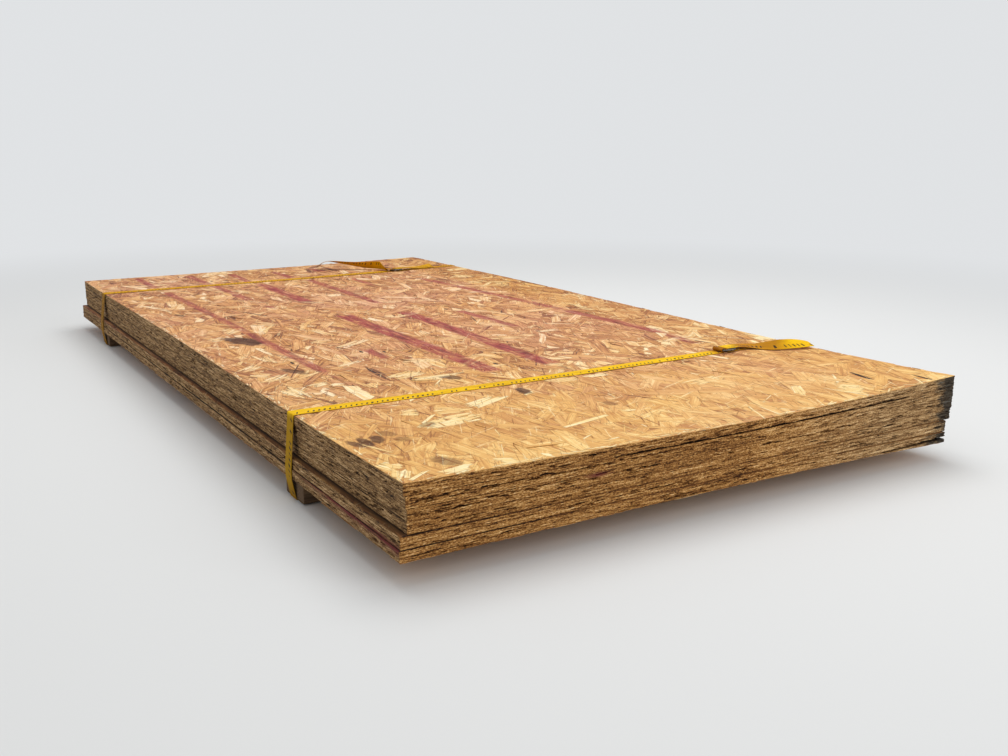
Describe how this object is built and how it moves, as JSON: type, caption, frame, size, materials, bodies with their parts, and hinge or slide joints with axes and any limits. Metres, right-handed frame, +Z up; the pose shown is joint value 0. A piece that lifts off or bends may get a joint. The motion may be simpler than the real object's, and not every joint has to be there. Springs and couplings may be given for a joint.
{
  "type": "stack of osb panels",
  "caption": "Weathered strand board panels stacked flat on two boards and held by two webbing straps with wire buckles.",
  "frame": {"origin": "centre of the stack on the floor it lies on", "axes": "+Z up, +Y along the panels, from the end near the front strap to the far end, +X across the panels, to the right seen from the front end"},
  "size_m": [1.2372, 2.4463, 0.1922],
  "materials": {
    "osb": "weathered strand board, golden brown flakes",
    "dunnage_wood": "dark weathered softwood",
    "webbing": "woven yellow polyester with dark printed dashes",
    "buckle_steel": "dark phosphated steel wire"
  },
  "bodies": {
    "root": {"panel_1": "osb", "panel_2": "osb", "panel_3": "osb", "panel_4": "osb", "panel_5": "osb", "panel_6": "osb", "front_dunnage": "dunnage_wood", "rear_dunnage": "dunnage_wood", "front_strap": "webbing", "rear_strap": "webbing", "front_buckle": "buckle_steel", "rear_buckle": "buckle_steel"}
  },
  "joints": []
}
